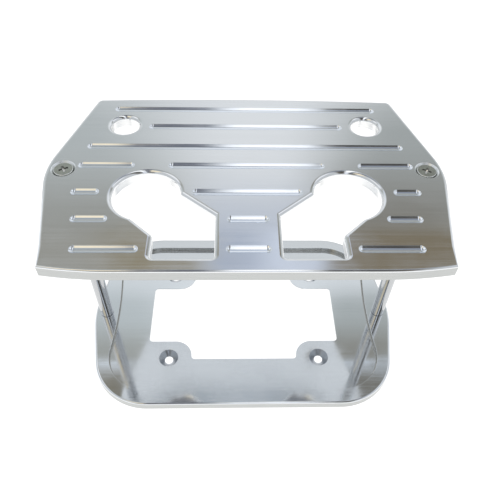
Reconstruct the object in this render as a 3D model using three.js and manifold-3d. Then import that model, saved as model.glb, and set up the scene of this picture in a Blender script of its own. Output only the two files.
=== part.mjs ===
// Battery tray with a hold-down plate: a machined tray, two round rods and a
// ball-milled top plate held by two countersunk screws.
// Millimetres, +Z up, +X to the right, front faces -Y.
// Origin: middle of the tray's underside.
import * as THREE from 'three';
import { mergeVertices } from 'three/addons/utils/BufferGeometryUtils.js';
import Module from 'manifold-3d';

const wasm = await Module();
wasm.setup();

// ---------------------------------------------------------------- dimensions
const PLATE_T = 9.5;            // stock thickness of tray and top plate
const EDGE_R = 3.2;             // round-over on the top edges
const TRAY_HALF_Y = 101.6;      // half depth of the tray
const TRAY_EAR_X = 152.4;       // half width of the tray at the rods
const TRAY_EAR_R = 100;         // large radius of the tray's side at the rods
const TRAY_SIDE_DEG = 10.2;     // slant of the tray's sides
const TRAY_CORNER_R = 55;       // corner radius of the tray
const POCKET_DEPTH = 4.5;       // depth of the battery pocket
const POCKET_HALF_Y = 87.9;     // half depth of the pocket
const POCKET_MAX_X = 131.3;     // half width of the pocket at its corners
const POCKET_WAIST_X = 128.8;   // half width of the pocket between the rods
const POCKET_CORNER_R = 40;     // corner radius of the pocket
const WINDOW_X = 94.2;          // half width of the window's wide arm
const WINDOW_Y = 32.7;          // half depth of the window's wide arm
const WINDOW_ARM_X = 51.5;      // half width of the window's other arm
const WINDOW_ARM_Y = 52.6;      // half depth of the window's other arm
const WINDOW_TAB_R = 16.4;      // round on the four tabs
const WINDOW_FILLET_R = 3.4;    // fillets in the window's inner corners
const MOUNT_X = 73.7;           // mounting holes, half spacing along X
const MOUNT_Y = 51.3;           // mounting holes, half spacing along Y
const MOUNT_SINK_R = 9.1;       // countersink radius at the pocket floor
const MOUNT_HOLE_R = 4.1;       // through-hole radius
const ROD_X = 140.3;            // rods and screws, half spacing
const ROD_R = 6.35;             // half-inch rod
const ROD_L = 182.1;            // length of a rod
const SEAT_GAP = 0.1;           // clearance between rod and top plate
const TAP_R = 4.25;             // bore in each end of a rod
const TAP_DEPTH = 20;           // its depth
const SCREW_R = 3.95;           // screw shank
const SCREW_L = 25.4;           // screw length with its head
const HEAD_R = 7.4;             // countersunk head
const HEAD_BAND = 1.4;          // straight edge of the head
const HEAD_SINK = 0.45;         // how far the head lies below the surface
const SINK_RIM_R = 9.3;         // countersink for a screw head
const SINK_SLOPE = Math.tan(41 * Math.PI / 180);   // 82 degree countersink
const SCREW_BORE_R = 4.4;       // clearance bore under the countersink
const LID_HALF_X = 153.6;       // half width of the top plate at the rods
const LID_BEND_R = 75;          // large radius of its side at the rods
const LID_BEND_Y = -4;          // where the side is widest
const LID_FRONT_Y = -100.8;     // front edge
const LID_FRONT_FLAT_X = 90;    // half length of the straight part of it
const LID_FRONT_BOW_R = 290;    // curve of the front edge towards its corners
const LID_FRONT_CORNER_X = 138.6;
const LID_BACK_Y = 96.2;        // back edge at the middle
const LID_BACK_BOW_R = 3000;    // slight bow of the back edge
const LID_BACK_DEG = 16.3;      // slant of the sides behind the rods
const LID_BACK_CORNER_R = 5.5;   // round of the back corners
const KEY_X = 74.6, KEY_Y = -28.2, KEY_R = 25.3;  // round end of a terminal cut-out
const HOLE_X = 100.5, HOLE_Y = 56.1, HOLE_R = 11.4; // small round hole
const GROOVE_HALF_W = 3.5;      // half width of a milled groove
const GROOVE_BALL_R = 4.76;     // radius of the ball cutter
// rows of grooves: y, then [start, end] spans on the +X side (0 = runs through)
const GROOVES = [
  [78.5, [[-112, 112]]],
  [54.0, [[-80.6, 80.6]]],
  [27.4, [[-126.8, 126.8]]],
  [4.2, [[-60.7, 60.7], [86.5, 129.9], [-129.9, -86.5]]],
  [-25.8, [[-41.2, 41.2], [108.9, 129.8], [-129.8, -108.9]]],
  [-53.6, [[-15.2, 15.2], [98.8, 124.8], [-124.8, -98.8]]],
  [-81.7, [[-15.6, 15.6], [74.1, 120.2], [-120.2, -74.1]]],
];

const RIM_Z = PLATE_T;                         // top of the tray's rim
const FLOOR_Z = PLATE_T - POCKET_DEPTH;        // pocket floor
const LID_Z = RIM_Z + ROD_L + SEAT_GAP;        // underside of the top plate
const LID_TOP = LID_Z + PLATE_T;               // its top face
const rad = (d) => d * Math.PI / 180;

// ------------------------------------------------------------------- outlines
function arc(cx, cy, r, a0, a1, stepDeg) {
  const n = Math.max(2, Math.ceil(Math.abs(a1 - a0) / stepDeg));
  const out = [];
  for (let i = 0; i <= n; i++) {
    const a = rad(a0 + (a1 - a0) * i / n);
    out.push([cx + r * Math.cos(a), cy + r * Math.sin(a)]);
  }
  return out;
}

// Closed polygon whose corners [x, y, radius] are rounded.
function filleted(corners, stepDeg) {
  const out = [];
  const n = corners.length;
  for (let i = 0; i < n; i++) {
    const [x, y, r] = corners[i];
    if (!r) { out.push([x, y]); continue; }
    const p = corners[(i + n - 1) % n], q = corners[(i + 1) % n];
    const u = new THREE.Vector2(p[0] - x, p[1] - y).normalize();
    const v = new THREE.Vector2(q[0] - x, q[1] - y).normalize();
    const half = Math.acos(THREE.MathUtils.clamp(u.dot(v), -1, 1)) / 2;
    const d = r / Math.tan(half);
    const m = u.clone().add(v).normalize().multiplyScalar(r / Math.sin(half));
    const c = [x + m.x, y + m.y];
    const s = [x + u.x * d, y + u.y * d], e = [x + v.x * d, y + v.y * d];
    const a0 = Math.atan2(s[1] - c[1], s[0] - c[0]);
    let a1 = Math.atan2(e[1] - c[1], e[0] - c[0]);
    while (a1 - a0 > Math.PI) a1 -= 2 * Math.PI;
    while (a1 - a0 < -Math.PI) a1 += 2 * Math.PI;
    out.push(...arc(c[0], c[1], r, a0 * 180 / Math.PI, a1 * 180 / Math.PI, stepDeg));
  }
  return out;
}

const flipX = (pts) => pts.map(([x, y]) => [-x, y]).reverse();
const flipY = (pts) => pts.map(([x, y]) => [x, -y]).reverse();
function clean(pts) {
  const out = [];
  for (const p of pts) {
    const q = out[out.length - 1];
    if (!q || Math.hypot(p[0] - q[0], p[1] - q[1]) > 0.02) out.push(p);
  }
  const a = out[0], b = out[out.length - 1];
  if (Math.hypot(a[0] - b[0], a[1] - b[1]) < 0.02) out.pop();
  return out;
}

function trayOutline() {
  const cy = -(TRAY_HALF_Y - TRAY_CORNER_R);
  const s = Math.sin(rad(TRAY_SIDE_DEG)), c = Math.cos(rad(TRAY_SIDE_DEG));
  const ear = [TRAY_EAR_X - TRAY_EAR_R + TRAY_EAR_R * c, -TRAY_EAR_R * s];
  const ty = cy - TRAY_CORNER_R * s;
  const tx = ear[0] - (ear[1] - ty) * (s / c);
  const cx = tx - TRAY_CORNER_R * c;
  const quarter = arc(cx, cy, TRAY_CORNER_R, -90, -TRAY_SIDE_DEG, 6)
    .concat(arc(TRAY_EAR_X - TRAY_EAR_R, 0, TRAY_EAR_R, -TRAY_SIDE_DEG, 0, 2.6));
  const right = quarter.concat(flipY(quarter));
  return clean(right.concat(flipX(right)));
}

function pocketOutline() {
  const cx = POCKET_MAX_X - POCKET_CORNER_R, cy = -(POCKET_HALF_Y - POCKET_CORNER_R);
  const a = 6.0;
  const ex = cx + POCKET_CORNER_R * Math.cos(rad(a)), ey = cy + POCKET_CORNER_R * Math.sin(rad(a));
  const sag = ex - POCKET_WAIST_X;
  const r = (ey * ey + sag * sag) / (2 * sag);
  const b = Math.asin(-ey / r) * 180 / Math.PI;
  const quarter = arc(cx, cy, POCKET_CORNER_R, -90, a, 7.5)
    .concat(arc(POCKET_WAIST_X + r, 0, r, 180 + b, 180, 1.6));
  const right = quarter.concat(flipY(quarter));
  return clean(right.concat(flipX(right)));
}

function windowOutline() {
  const f = WINDOW_FILLET_R, t = WINDOW_TAB_R;
  const X = WINDOW_X, Y = WINDOW_Y, x = WINDOW_ARM_X, y = WINDOW_ARM_Y;
  return clean(filleted([
    [X, -Y, f], [X, Y, f], [x, Y, t], [x, y, f], [-x, y, f], [-x, Y, t],
    [-X, Y, f], [-X, -Y, f], [-x, -Y, t], [-x, -y, f], [x, -y, f], [x, -Y, t],
  ], 15));
}

function lidOutline() {
  const cx = LID_HALF_X - LID_BEND_R;
  // front corner of the plate, a sharp one
  const fy = LID_FRONT_Y + LID_FRONT_BOW_R
    - Math.sqrt(LID_FRONT_BOW_R ** 2 - (LID_FRONT_CORNER_X - LID_FRONT_FLAT_X) ** 2);
  const aFront = -90 + Math.asin((LID_FRONT_CORNER_X - LID_FRONT_FLAT_X) / LID_FRONT_BOW_R) * 180 / Math.PI;
  const front = arc(LID_FRONT_FLAT_X, LID_FRONT_Y + LID_FRONT_BOW_R, LID_FRONT_BOW_R, -90, aFront, 1.7);
  // straight side from that corner, tangent to the bend at the rods
  const dx = LID_FRONT_CORNER_X - cx, dy = fy - LID_BEND_Y;
  const dist = Math.hypot(dx, dy);
  const tangent = Math.atan2(dy, dx) + Math.acos(LID_BEND_R / dist);
  const bend = arc(cx, LID_BEND_Y, LID_BEND_R, tangent * 180 / Math.PI, LID_BACK_DEG, 2.4);
  // straight side behind the bend up to the rounded back corner
  const s = Math.sin(rad(LID_BACK_DEG)), c = Math.cos(rad(LID_BACK_DEG));
  const p0 = [cx + LID_BEND_R * c, LID_BEND_Y + LID_BEND_R * s];
  const backY = (x) => LID_BACK_Y - LID_BACK_BOW_R + Math.sqrt(LID_BACK_BOW_R ** 2 - x * x);
  let k = 0;
  for (let i = 0; i < 60; i++) k += (backY(p0[0] - s * k) - (p0[1] + c * k)) / c;
  const corner = [p0[0] - s * k, p0[1] + c * k];
  const backPts = [];
  for (let i = 1; i <= 6; i++) {
    const x = 108 * (1 - i / 6);
    backPts.push([x, backY(x), 0]);
  }
  const poly = [[p0[0], p0[1], 0], [corner[0], corner[1], LID_BACK_CORNER_R], [108, backY(108), 0]];
  const rounded = filleted([...poly, [0, 0, 0]], 12).slice(0, -1);
  const right = front.concat(bend, rounded.slice(1), backPts);
  return clean(right.concat(flipX(right)));
}

// Terminal cut-out on the +X side, wall line: a round end joined to a
// rectangular part by a slanted edge on each side.
function keyOutline() {
  const inner = 23.4, outer = 66.1, front = -88.9, r = 2.4;
  // slanted inner edge meets the round end and the inner wall in sharp corners
  const aIn = rad(176.5), aOut = rad(-71);
  const onCircle = (a) => [KEY_X + KEY_R * Math.cos(a), KEY_Y + KEY_R * Math.sin(a)];
  const pIn = onCircle(aIn), pOut = onCircle(aOut);
  const round = arc(KEY_X, KEY_Y, KEY_R, -71, 176.5, 8);
  const lower = filleted([
    [pIn[0], pIn[1], 0],
    [inner, -48.9, 0],
    [inner, front, r],
    [outer, front, r],
    [outer, -68.2, 5],
    [pOut[0], pOut[1], 0],
  ], 18);
  return clean(round.concat(lower.slice(1, -1)));
}

// --------------------------------------------------------------------- solids
const shapeOf = (pts) => new THREE.Shape(pts.map(([x, y]) => new THREE.Vector2(x, y)));

function solid(geometry) {
  let g = geometry.clone();
  g.deleteAttribute('normal');
  g.deleteAttribute('uv');
  g = mergeVertices(g, 1e-4);
  const index = g.index.array, tri = [];
  for (let i = 0; i < index.length; i += 3) {
    const a = index[i], b = index[i + 1], c = index[i + 2];
    if (a !== b && b !== c && a !== c) tri.push(a, b, c);
  }
  return new wasm.Manifold(new wasm.Mesh({
    numProp: 3,
    vertProperties: new Float32Array(g.attributes.position.array),
    triVerts: new Uint32Array(tri),
  }));
}

function geometryOf(manifold) {
  const m = manifold.getMesh();
  const g = new THREE.BufferGeometry();
  const np = m.numProp, n = m.vertProperties.length / np;
  const pos = new Float32Array(n * 3);
  for (let i = 0; i < n; i++) for (let k = 0; k < 3; k++) pos[3 * i + k] = m.vertProperties[np * i + k];
  g.setAttribute('position', new THREE.BufferAttribute(pos, 3));
  g.setIndex(new THREE.BufferAttribute(new Uint32Array(m.triVerts), 1));
  g.computeVertexNormals();
  return g;
}

function prism(pts, z0, z1, holes = []) {
  const shape = shapeOf(pts);
  for (const h of holes) shape.holes.push(new THREE.Path(h.map(([x, y]) => new THREE.Vector2(x, y))));
  const g = new THREE.ExtrudeGeometry(shape, { depth: z1 - z0, bevelEnabled: false });
  return g.translate(0, 0, z0);
}

// Plate of the given outline whose upper edges, holes included, are rounded
// over; its underside is cut square afterwards.
function roundedPlate(pts, holes, z0, z1, segments) {
  const shape = shapeOf(pts);
  for (const h of holes) shape.holes.push(new THREE.Path(h.map(([x, y]) => new THREE.Vector2(x, y))));
  const below = 10;
  const g = new THREE.ExtrudeGeometry(shape, {
    depth: z1 - z0 + below - 2 * EDGE_R, bevelEnabled: true, bevelThickness: EDGE_R,
    bevelSize: EDGE_R, bevelOffset: -EDGE_R, bevelSegments: segments,
  });
  g.translate(0, 0, z0 - below + EDGE_R);
  const cut = new THREE.BoxGeometry(400, 400, 40).translate(0, 0, z0 - 20);
  return solid(g).subtract(solid(cut));
}

function revolved(profile, segments, x, y, z) {
  const g = new THREE.LatheGeometry(profile.map(([r, h]) => new THREE.Vector2(r, h)), segments);
  g.rotateX(Math.PI / 2);
  return g.translate(x, y, z);
}

// Countersink and bore, heights measured down from the surface.
function sinkTool(rim, bore, slope, depth, x, y, z, up = 1) {
  const over = 1;
  const pts = [[0, -depth], [bore, -depth], [bore, -(rim - bore) / slope],
    [rim + over * slope, over], [0, over]];
  const list = up > 0 ? pts : pts.map(([r, h]) => [r, -h]).reverse();
  return solid(revolved(list, 36, x, y, z));
}

// Ball-milled groove along X from x0 to x1.
function grooveTool(x0, x1, y, z) {
  const r = GROOVE_BALL_R, lift = Math.sqrt(r * r - GROOVE_HALF_W ** 2);
  const reach = GROOVE_HALF_W;
  const a = x0 + reach, b = x1 - reach;
  const profile = [];
  const n = 5;
  const span = Math.acos(0);
  for (let i = 0; i <= n; i++) {
    const t = span * i / n;
    profile.push([r * Math.sin(t), -r * Math.cos(t)]);
  }
  for (let i = 0; i <= n; i++) {
    const t = span * (1 - i / n);
    profile.push([r * Math.sin(t), (b - a) + r * Math.cos(t)]);
  }
  profile[0][0] = 0;
  profile[profile.length - 1][0] = 0;
  const g = new THREE.LatheGeometry(profile.map(([x, h]) => new THREE.Vector2(x, h)), 24);
  g.rotateZ(-Math.PI / 2);
  return solid(g.translate(a, y, z + lift));
}

function screwGeometry(x, y, z, up, turnDeg) {
  const cone = (HEAD_R - SCREW_R) / SINK_SLOPE;
  const pts = [[0, -SCREW_L], [SCREW_R - 0.7, -SCREW_L], [SCREW_R, -SCREW_L + 0.7],
    [SCREW_R, -HEAD_BAND - cone], [HEAD_R, -HEAD_BAND], [HEAD_R, -0.12], [HEAD_R - 0.12, 0], [0, 0]];
  let s = solid(revolved(pts, 32, 0, 0, 0));
  const wing = (turn) => solid(new THREE.BoxGeometry(7.0, 1.6, 6).rotateZ(turn));
  s = s.subtract(wing(rad(turnDeg))).subtract(wing(rad(turnDeg + 90)));
  const g = geometryOf(s);
  if (up < 0) g.rotateX(Math.PI);
  return g.translate(x, y, z);
}

function rodGeometry(x) {
  const c = 0.6;
  const profile = [[0, TAP_DEPTH], [TAP_R, TAP_DEPTH], [TAP_R, 0], [ROD_R - c, 0], [ROD_R, c],
    [ROD_R, ROD_L - c], [ROD_R - c, ROD_L], [TAP_R, ROD_L], [TAP_R, ROD_L - TAP_DEPTH], [0, ROD_L - TAP_DEPTH]];
  return revolved(profile, 32, x, 0, RIM_Z);
}

// -------------------------------------------------------------------- the tray
let tray = roundedPlate(trayOutline(), [], 0, PLATE_T, 3);
tray = tray.subtract(solid(prism(pocketOutline(), FLOOR_Z, PLATE_T + 5)));
tray = tray.subtract(solid(prism(windowOutline(), -5, PLATE_T)));
for (const sx of [-1, 1]) {
  for (const sy of [-1, 1]) {
    tray = tray.subtract(sinkTool(MOUNT_SINK_R, MOUNT_HOLE_R, (MOUNT_SINK_R - MOUNT_HOLE_R) / 4.6,
      20, sx * MOUNT_X, sy * MOUNT_Y, FLOOR_Z));
  }
  tray = tray.subtract(sinkTool(SINK_RIM_R, SCREW_BORE_R, SINK_SLOPE, 20, sx * ROD_X, 0, 0, -1));
}

// --------------------------------------------------------------- the top plate
const circle = (cx, cy, r, step) => arc(cx, cy, r, 0, 360, step).slice(0, -1);
const key = keyOutline();
let lid = roundedPlate(lidOutline(), [
  key, flipX(key), circle(HOLE_X, HOLE_Y, HOLE_R, 11.25), circle(-HOLE_X, HOLE_Y, HOLE_R, 11.25),
], LID_Z, LID_TOP, 3);
for (const [y, spans] of GROOVES) {
  for (const [a, b] of spans) lid = lid.subtract(grooveTool(a, b, y, LID_TOP));
}
for (const sx of [-1, 1]) {
  lid = lid.subtract(sinkTool(SINK_RIM_R, SCREW_BORE_R, SINK_SLOPE, 20, sx * ROD_X, 0, LID_TOP));
}

// -------------------------------------------------------------------- assembly
const satin = () => new THREE.MeshStandardMaterial({ color: 0xbfc3c6, roughness: 0.28, metalness: 1 });
const polished = () => new THREE.MeshStandardMaterial({ color: 0xcdd0d3, roughness: 0.12, metalness: 1 });
const stainless = () => new THREE.MeshStandardMaterial({ color: 0x9a9c90, roughness: 0.35, metalness: 1 });

const model = new THREE.Group();
function add(name, geometry, material) {
  const mesh = new THREE.Mesh(geometry, material);
  mesh.name = name;
  model.add(mesh);
}
add('tray', geometryOf(tray), satin());
add('rod_left', rodGeometry(-ROD_X), polished());
add('rod_right', rodGeometry(ROD_X), polished());
add('top_plate', geometryOf(lid), satin());
add('top_screw_left', screwGeometry(-ROD_X, 0, LID_TOP - HEAD_SINK, 1, 28), stainless());
add('top_screw_right', screwGeometry(ROD_X, 0, LID_TOP - HEAD_SINK, 1, 62), stainless());
add('bottom_screw_left', screwGeometry(-ROD_X, 0, HEAD_SINK, -1, 10), stainless());
add('bottom_screw_right', screwGeometry(ROD_X, 0, HEAD_SINK, -1, 40), stainless());

export default model;
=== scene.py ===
import math

import bpy
import numpy as np
from mathutils import Matrix, Vector
from mathutils.geometry import delaunay_2d_cdt


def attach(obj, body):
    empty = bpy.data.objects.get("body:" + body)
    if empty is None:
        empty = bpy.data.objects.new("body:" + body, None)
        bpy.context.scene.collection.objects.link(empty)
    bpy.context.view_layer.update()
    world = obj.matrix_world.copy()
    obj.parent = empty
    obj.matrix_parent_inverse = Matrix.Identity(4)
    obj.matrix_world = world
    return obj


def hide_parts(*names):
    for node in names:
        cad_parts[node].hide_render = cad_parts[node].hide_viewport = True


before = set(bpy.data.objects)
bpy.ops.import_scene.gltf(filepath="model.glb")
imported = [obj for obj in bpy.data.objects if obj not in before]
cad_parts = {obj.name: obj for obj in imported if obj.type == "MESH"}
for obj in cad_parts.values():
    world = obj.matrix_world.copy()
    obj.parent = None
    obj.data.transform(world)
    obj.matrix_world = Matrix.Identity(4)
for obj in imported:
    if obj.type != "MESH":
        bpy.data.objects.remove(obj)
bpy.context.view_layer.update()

# ------------------------------------------------------------------ dimensions
PLATE_T = 9.5
EDGE_R, FRONT_R, FRONT_BLEND, TRAY_FRONT_BLEND = 3.2, 1.5, 16.0, 45.0
TRAY_HALF_Y, TRAY_EAR_X, TRAY_EAR_R = 101.6, 152.4, 100.0
TRAY_SIDE_DEG, TRAY_CORNER_R = 10.2, 55.0
POCKET_DEPTH, POCKET_HALF_Y, POCKET_MAX_X = 4.5, 87.9, 131.3
POCKET_WAIST_X, POCKET_CORNER_R = 128.8, 40.0
WINDOW_X, WINDOW_Y, WINDOW_ARM_X, WINDOW_ARM_Y = 94.2, 32.7, 51.5, 52.6
WINDOW_TAB_R, WINDOW_FILLET_R = 16.4, 3.4
MOUNT_X, MOUNT_Y, MOUNT_SINK_R, MOUNT_HOLE_R, MOUNT_SINK_DEPTH = 73.7, 51.3, 9.1, 4.1, 4.6
ROD_X, ROD_R, ROD_L, SEAT_GAP, TAP_R, TAP_DEPTH = 140.3, 6.35, 182.1, 0.1, 4.25, 20.0
SCREW_R, SCREW_L, HEAD_R, HEAD_BAND, HEAD_SINK = 3.95, 25.4, 7.4, 1.4, 0.45
SINK_RIM_R, SINK_SLOPE, SCREW_BORE_R = 9.3, math.tan(math.radians(41)), 4.4
THREAD_PITCH = 25.4 / 18
LID_HALF_X, LID_BEND_R, LID_BEND_Y = 153.6, 75.0, -4.0
LID_FRONT_Y, LID_FRONT_FLAT_X, LID_FRONT_BOW_R, LID_FRONT_CORNER_X = -100.8, 90.0, 290.0, 138.6
LID_BACK_Y, LID_BACK_BOW_R, LID_BACK_DEG, LID_BACK_CORNER_R = 96.2, 3000.0, 16.3, 5.5
LID_FRONT_CORNER_Y = LID_FRONT_Y + LID_FRONT_BOW_R - math.sqrt(LID_FRONT_BOW_R ** 2 - (LID_FRONT_CORNER_X - LID_FRONT_FLAT_X) ** 2)
KEY_X, KEY_Y, KEY_R = 74.6, -28.2, 25.3
HOLE_X, HOLE_Y, HOLE_R = 100.5, 56.1, 11.4
GROOVE_HALF_W, GROOVE_BALL_R = 3.5, 4.76
GROOVES = [
    (78.5, [(-112, 112)]),
    (54.0, [(-80.6, 80.6)]),
    (27.4, [(-126.8, 126.8)]),
    (4.2, [(-60.7, 60.7), (86.5, 129.9), (-129.9, -86.5)]),
    (-25.8, [(-41.2, 41.2), (108.9, 129.8), (-129.8, -108.9)]),
    (-53.6, [(-15.2, 15.2), (98.8, 124.8), (-124.8, -98.8)]),
    (-81.7, [(-15.6, 15.6), (74.1, 120.2), (-120.2, -74.1)]),
]
RIM_Z = PLATE_T
FLOOR_Z = PLATE_T - POCKET_DEPTH
LID_Z = RIM_Z + ROD_L + SEAT_GAP
LID_TOP = LID_Z + PLATE_T
BREAK = 0.35          # broken edge at the foot of a wall
rad = math.radians


# ------------------------------------------------------- outlines with offsets
# An outline is a closed chain of lines and arcs with the metal on its left, so
# an offset d > 0 moves it into the metal. Every offset keeps the same points.
class Line:
    def __init__(self, p, q, n=1):
        self.p, self.q, self.n = np.array(p, float), np.array(q, float), n
        t = self.q - self.p
        self.t = t / np.linalg.norm(t)
        self.left = np.array([-self.t[1], self.t[0]])

    start = property(lambda self: self.p)
    end = property(lambda self: self.q)
    t0 = property(lambda self: self.t)
    t1 = property(lambda self: self.t)

    def shift(self, d):
        return Line(self.p + d * self.left, self.q + d * self.left, self.n)

    def points(self, a, b, sharp0, sharp1):
        u = np.arange(self.n + 1)[:, None] / self.n
        return a + (b - a) * u, np.repeat(-self.left[None], self.n + 1, 0)


class Arc:
    def __init__(self, c, r, a0, a1, step=4.0):
        self.c, self.r, self.a0, self.a1 = np.array(c, float), r, a0, a1
        self.s = 1.0 if a1 > a0 else -1.0
        self.n = max(2, math.ceil(abs(math.degrees(a1 - a0)) / step - 1e-9))

    def at(self, a):
        return self.c + self.r * np.array([math.cos(a), math.sin(a)])

    start = property(lambda self: self.at(self.a0))
    end = property(lambda self: self.at(self.a1))
    t0 = property(lambda self: self.s * np.array([-math.sin(self.a0), math.cos(self.a0)]))
    t1 = property(lambda self: self.s * np.array([-math.sin(self.a1), math.cos(self.a1)]))

    def shift(self, d):
        o = Arc(self.c, self.r - self.s * d, self.a0, self.a1)
        o.n = self.n
        return o

    def points(self, a, b, sharp0, sharp1):
        a0, a1 = self.a0, self.a1
        if sharp0:
            a0 = self.near(a, a0)
        if sharp1:
            a1 = self.near(b, a1)
        t = a0 + (a1 - a0) * np.arange(self.n + 1) / self.n
        u = np.stack([np.cos(t), np.sin(t)], 1)
        return self.c + self.r * u, self.s * u

    def near(self, p, a):
        b = math.atan2(p[1] - self.c[1], p[0] - self.c[0])
        return b + 2 * math.pi * round((a - b) / (2 * math.pi))


def crossing(a, b, guess):
    """Where two shifted pieces meet, the solution nearest to guess."""
    if isinstance(a, Arc) and isinstance(b, Line):
        return crossing(b, a, guess)
    if isinstance(a, Line) and isinstance(b, Line):
        m = np.array([a.t, -b.t]).T
        s = np.linalg.solve(m, b.p - a.p)
        return a.p + a.t * s[0]
    if isinstance(a, Line):
        w = a.p - b.c
        h = np.dot(w, a.t)
        k = h * h - (np.dot(w, w) - b.r ** 2)
        k = math.sqrt(max(k, 0.0))
        both = [a.p + a.t * (-h + k), a.p + a.t * (-h - k)]
    else:
        w = b.c - a.c
        d = np.linalg.norm(w)
        x = (d * d + a.r ** 2 - b.r ** 2) / (2 * d)
        y = math.sqrt(max(a.r ** 2 - x * x, 0.0))
        e = w / d
        f = np.array([-e[1], e[0]])
        both = [a.c + e * x + f * y, a.c + e * x - f * y]
    return min(both, key=lambda p: np.linalg.norm(p - guess))


class Outline:
    def __init__(self, parts):
        self.parts = parts
        m = len(parts)
        self.sharp = []          # joint i lies between parts i and i + 1
        for i in range(m):
            a, b = parts[i], parts[(i + 1) % m]
            assert np.linalg.norm(a.end - b.start) < 0.02, (i, a.end, b.start)
            self.sharp.append(float(np.dot(a.t1, b.t0)) < math.cos(rad(2.0)))

    def ring(self, d):
        """Points and outward normals of each part at offset d."""
        m = len(self.parts)
        moved = [p.shift(d) for p in self.parts]
        joint = []
        for i in range(m):
            a, b = self.parts[i], self.parts[(i + 1) % m]
            la = np.array([-a.t1[1], a.t1[0]])
            lb = np.array([-b.t0[1], b.t0[0]])
            guess = a.end + d * (la + lb) / 2
            if self.sharp[i] and abs(d) > 1e-9:
                joint.append(crossing(moved[i], moved[(i + 1) % m], guess))
            else:
                joint.append(a.end + d * la)
        out = []
        for i in range(m):
            p, nrm = moved[i].points(joint[i - 1], joint[i], self.sharp[i - 1], self.sharp[i])
            p[0], p[-1] = joint[i - 1], joint[i]
            out.append((p, nrm))
        return out

    def loop(self, d):
        return np.concatenate([p[:-1] for p, _ in self.ring(d)])


def reverse(parts):
    """The same chain walked the other way, for a hole."""
    out = []
    for p in reversed(parts):
        if isinstance(p, Line):
            out.append(Line(p.q, p.p, p.n))
        else:
            o = Arc(p.c, p.r, p.a1, p.a0)
            o.n = p.n
            out.append(o)
    return out


def mirror_x(parts):
    """Mirrored in X, walked so that the metal stays on the same side."""
    out = []
    for p in reversed(parts):
        if isinstance(p, Line):
            out.append(Line((-p.q[0], p.q[1]), (-p.p[0], p.p[1]), p.n))
        else:
            o = Arc((-p.c[0], p.c[1]), p.r, math.pi - p.a1, math.pi - p.a0)
            o.n = p.n
            out.append(o)
    return out


def mirror_y(parts):
    out = []
    for p in reversed(parts):
        if isinstance(p, Line):
            out.append(Line((p.q[0], -p.q[1]), (p.p[0], -p.p[1]), p.n))
        else:
            o = Arc((p.c[0], -p.c[1]), p.r, -p.a1, -p.a0)
            o.n = p.n
            out.append(o)
    return out


def polygon(corners, step=6.0, piece=6.0):
    """Counter-clockwise chain from corners [x, y, fillet radius]."""
    m = len(corners)
    cut = []
    for i, (x, y, r) in enumerate(corners):
        p, q = np.array(corners[i - 1][:2]), np.array(corners[(i + 1) % m][:2])
        o = np.array([x, y], float)
        if not r:
            cut.append((o, o, None))
            continue
        u = (p - o) / np.linalg.norm(p - o)
        v = (q - o) / np.linalg.norm(q - o)
        half = math.acos(max(-1, min(1, float(np.dot(u, v))))) / 2
        d = r / math.tan(half)
        bis = (u + v) / np.linalg.norm(u + v)
        c = o + bis * r / math.sin(half)
        s, e = o + u * d, o + v * d
        a0 = math.atan2(*(s - c)[::-1])
        a1 = math.atan2(*(e - c)[::-1])
        while a1 - a0 > math.pi:
            a1 -= 2 * math.pi
        while a1 - a0 < -math.pi:
            a1 += 2 * math.pi
        cut.append((s, e, Arc(c, r, a0, a1, step)))
    out = []
    for i in range(m):
        if cut[i][2] is not None:
            out.append(cut[i][2])
        a, b = cut[i][1], cut[(i + 1) % m][0]
        length = np.linalg.norm(b - a)
        if length > 1e-6:
            out.append(Line(a, b, max(1, round(length / piece))))
    return out


def circle(cx, cy, r, step=5.0):
    """Round hole: walked clockwise, with the metal outside."""
    return Outline([Arc((cx, cy), r, 2 * math.pi, math.pi, step), Arc((cx, cy), r, math.pi, 0, step)])


def tray_outline():
    cy = -(TRAY_HALF_Y - TRAY_CORNER_R)
    s, c = math.sin(rad(TRAY_SIDE_DEG)), math.cos(rad(TRAY_SIDE_DEG))
    ear = (TRAY_EAR_X - TRAY_EAR_R + TRAY_EAR_R * c, -TRAY_EAR_R * s)
    ty = cy - TRAY_CORNER_R * s
    tx = ear[0] - (ear[1] - ty) * (s / c)
    cx = tx - TRAY_CORNER_R * c
    q = [
        Line((0, -TRAY_HALF_Y), (cx, -TRAY_HALF_Y), 12),
        Arc((cx, cy), TRAY_CORNER_R, rad(-90), rad(-TRAY_SIDE_DEG), 2.5),
        Line((tx, ty), ear, 8),
        Arc((TRAY_EAR_X - TRAY_EAR_R, 0), TRAY_EAR_R, rad(-TRAY_SIDE_DEG), 0, 1.3),
    ]
    right = q + mirror_y(q)
    return Outline(right + mirror_x(right))


def pocket_outline():
    cx, cy = POCKET_MAX_X - POCKET_CORNER_R, -(POCKET_HALF_Y - POCKET_CORNER_R)
    a = 6.0
    ex, ey = cx + POCKET_CORNER_R * math.cos(rad(a)), cy + POCKET_CORNER_R * math.sin(rad(a))
    # the side bows inward from the corner to the waist: one arc whose centre is outside
    sag = ex - POCKET_WAIST_X
    r = (ey * ey + sag * sag) / (2 * sag)
    b = math.asin(-ey / r)
    q = [
        Line((0, -POCKET_HALF_Y), (cx, -POCKET_HALF_Y), 12),
        Arc((cx, cy), POCKET_CORNER_R, rad(-90), rad(a), 3),
        Arc((POCKET_WAIST_X + r, 0), r, math.pi + b, math.pi, 0.8),
    ]
    right = q + mirror_y(q)
    return Outline(reverse(right + mirror_x(right)))


def window_outline():
    f, t = WINDOW_FILLET_R, WINDOW_TAB_R
    X, Y, x, y = WINDOW_X, WINDOW_Y, WINDOW_ARM_X, WINDOW_ARM_Y
    return Outline(reverse(polygon([
        (X, -Y, f), (X, Y, f), (x, Y, t), (x, y, f), (-x, y, f), (-x, Y, t),
        (-X, Y, f), (-X, -Y, f), (-x, -Y, t), (-x, -y, f), (x, -y, f), (x, -Y, t),
    ])))


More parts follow.
